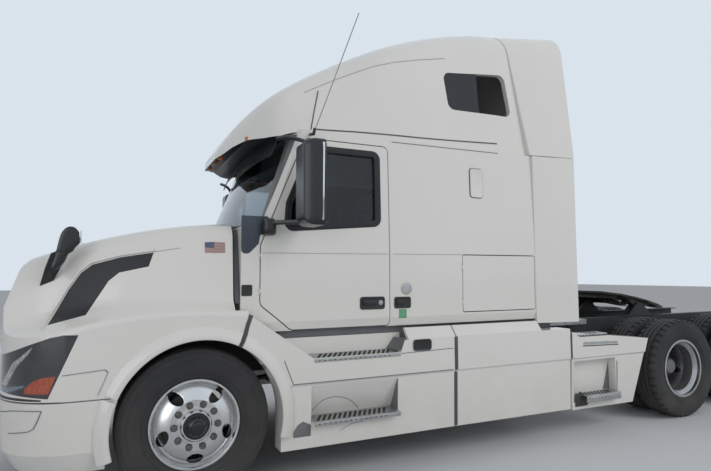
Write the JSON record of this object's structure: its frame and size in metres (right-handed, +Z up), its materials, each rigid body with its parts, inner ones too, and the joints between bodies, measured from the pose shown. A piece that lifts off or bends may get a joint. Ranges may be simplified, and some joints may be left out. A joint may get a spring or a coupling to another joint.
{
  "type": "semi truck tractor unit",
  "caption": "Road tractor with a long bonnet, high-roof sleeper cab, side skirts and steps, twin driven rear axles and a tilting coupling plate for a trailer.",
  "frame": {"origin": "on the ground, under the middle of the overall length and width", "axes": "+X towards the bumper, +Y to the driver's left, +Z up"},
  "size_m": [8.56, 3.01, 4.0569],
  "materials": {
    "white_paint": "gloss",
    "black_trim": "matte",
    "tinted_glass": "gloss",
    "tyre_rubber": "matte",
    "alloy": "polished",
    "chassis_paint": "satin",
    "iron": "matte",
    "tread_metal": "satin",
    "lamp_lens": "gloss",
    "red_lens": "gloss",
    "seat_fabric": "matte",
    "trim_grey": "matte",
    "flap_rubber": "matte"
  },
  "bodies": {
    "chassis_and_cab": {"bumper": "white_paint", "bunk": "seat_fabric", "cab_shell": "white_paint", "crossmembers": "chassis_paint", "dashboard": "trim_grey", "drive_axles": "chassis_paint", "driveline": "iron", "engine": "iron", "fifth_wheel_base": "chassis_paint", "frame_rails": "chassis_paint", "front_axle": "chassis_paint", "front_springs": "iron", "fuel_tanks": "alloy", "mudflaps": "flap_rubber", "radiator": "chassis_paint", "rear_deck": "tread_metal", "rear_suspension": "chassis_paint", "roof_cap": "white_paint", "roof_extender": "white_paint", "roof_windows": "tinted_glass", "seats": "seat_fabric", "side_extenders": "white_paint", "skirt_brackets": "chassis_paint", "skirts_left": "white_paint", "skirts_right": "white_paint", "sleeper_shell": "white_paint", "step_treads": "tread_metal", "tail_lamps": "red_lens", "visor": "tinted_glass", "windshield": "tinted_glass"},
    "cab_door_left": {"door_left": "white_paint", "door_glass_left": "tinted_glass", "mirror_left": "black_trim"},
    "storage_door_left": {"luggage_door_left": "white_paint"},
    "steer_knuckle_left": {"knuckle_left": "chassis_paint"},
    "steer_wheel_left": {"front_tyre_left": "tyre_rubber", "front_wheel_left": "alloy"},
    "twin_wheel_1_left": {"drive_tyres_1_left": "tyre_rubber", "drive_wheels_1_left": "alloy"},
    "twin_wheel_2_left": {"drive_tyres_2_left": "tyre_rubber", "drive_wheels_2_left": "alloy"},
    "cab_door_right": {"door_right": "white_paint", "door_glass_right": "tinted_glass", "mirror_right": "black_trim"},
    "storage_door_right": {"luggage_door_right": "white_paint"},
    "steer_knuckle_right": {"knuckle_right": "chassis_paint"},
    "steer_wheel_right": {"front_tyre_right": "tyre_rubber", "front_wheel_right": "alloy"},
    "twin_wheel_1_right": {"drive_tyres_1_right": "tyre_rubber", "drive_wheels_1_right": "alloy"},
    "twin_wheel_2_right": {"drive_tyres_2_right": "tyre_rubber", "drive_wheels_2_right": "alloy"},
    "bonnet": {"hood": "white_paint", "hood_vents": "black_trim", "headlamps": "lamp_lens", "grille": "black_trim", "hood_mirrors": "black_trim"},
    "track_rod": {"tie_rod": "chassis_paint"},
    "driver_wheel": {"steering_wheel": "black_trim"},
    "coupling_plate": {"fifth_wheel": "iron"}
  },
  "joints": [
    {"name": "bonnet_tilt", "type": "hinge", "parent": "chassis_and_cab", "child": "bonnet", "pos_m": [4.27, 0, 0.747], "axis": [0, 1, 0], "range_deg": [0, 60]},
    {"name": "steer_left", "type": "hinge", "parent": "chassis_and_cab", "child": "steer_knuckle_left", "pos_m": [3.02, 0.87, 0.51], "axis": [0, 0, 1], "range_deg": [-40, 40]},
    {"name": "steer_right", "type": "hinge", "parent": "chassis_and_cab", "child": "steer_knuckle_right", "pos_m": [3.02, -0.87, 0.51], "axis": [0, 0, 1], "range_deg": [-40, 40]},
    {"name": "track_rod_swing", "type": "hinge", "parent": "steer_knuckle_left", "child": "track_rod", "pos_m": [2.795, 0.87, 0.357], "axis": [0, 0, 1], "range_deg": [-40, 40]},
    {"name": "driver_wheel_turn", "type": "hinge", "parent": "chassis_and_cab", "child": "driver_wheel", "pos_m": [2.14, 0.52, 1.8], "axis": [-0.6157, 0, 0.788], "range_deg": [-720, 720]},
    {"name": "coupling_pitch", "type": "hinge", "parent": "chassis_and_cab", "child": "coupling_plate", "pos_m": [-2.41, 0, 1.13], "axis": [0, 1, 0], "range_deg": [0, 24]},
    {"name": "door_swing_left", "type": "hinge", "parent": "chassis_and_cab", "child": "cab_door_left", "pos_m": [2.584, 1.114, 1.53], "axis": [0, 0, -1], "range_deg": [0, 70]},
    {"name": "storage_swing_left", "type": "hinge", "parent": "chassis_and_cab", "child": "storage_door_left", "pos_m": [0.776, 1.114, 1.43], "axis": [0, 0, -1], "range_deg": [0, 80]},
    {"name": "steer_wheel_spin_left", "type": "hinge", "parent": "steer_knuckle_left", "child": "steer_wheel_left", "pos_m": [3.02, 1.03, 0.51], "axis": [0, 1, 0], "continuous": true},
    {"name": "twin_wheel_spin_1_left", "type": "hinge", "parent": "chassis_and_cab", "child": "twin_wheel_1_left", "pos_m": [-2.01, 0.935, 0.51], "axis": [0, 1, 0], "continuous": true},
    {"name": "twin_wheel_spin_2_left", "type": "hinge", "parent": "chassis_and_cab", "child": "twin_wheel_2_left", "pos_m": [-3.33, 0.935, 0.51], "axis": [0, 1, 0], "continuous": true},
    {"name": "door_swing_right", "type": "hinge", "parent": "chassis_and_cab", "child": "cab_door_right", "pos_m": [2.584, -1.114, 1.53], "axis": [0, 0, 1], "range_deg": [0, 70]},
    {"name": "storage_swing_right", "type": "hinge", "parent": "chassis_and_cab", "child": "storage_door_right", "pos_m": [0.776, -1.114, 1.43], "axis": [0, 0, 1], "range_deg": [0, 80]},
    {"name": "steer_wheel_spin_right", "type": "hinge", "parent": "steer_knuckle_right", "child": "steer_wheel_right", "pos_m": [3.02, -1.03, 0.51], "axis": [0, 1, 0], "continuous": true},
    {"name": "twin_wheel_spin_1_right", "type": "hinge", "parent": "chassis_and_cab", "child": "twin_wheel_1_right", "pos_m": [-2.01, -0.935, 0.51], "axis": [0, 1, 0], "continuous": true},
    {"name": "twin_wheel_spin_2_right", "type": "hinge", "parent": "chassis_and_cab", "child": "twin_wheel_2_right", "pos_m": [-3.33, -0.935, 0.51], "axis": [0, 1, 0], "continuous": true}
  ],
  "couplings": [
    {"joint": "steer_right", "follows": "steer_left", "ratio": 1},
    {"joint": "track_rod_swing", "follows": "steer_left", "ratio": -1},
    {"joint": "driver_wheel_turn", "follows": "steer_left", "ratio": 18}
  ]
}
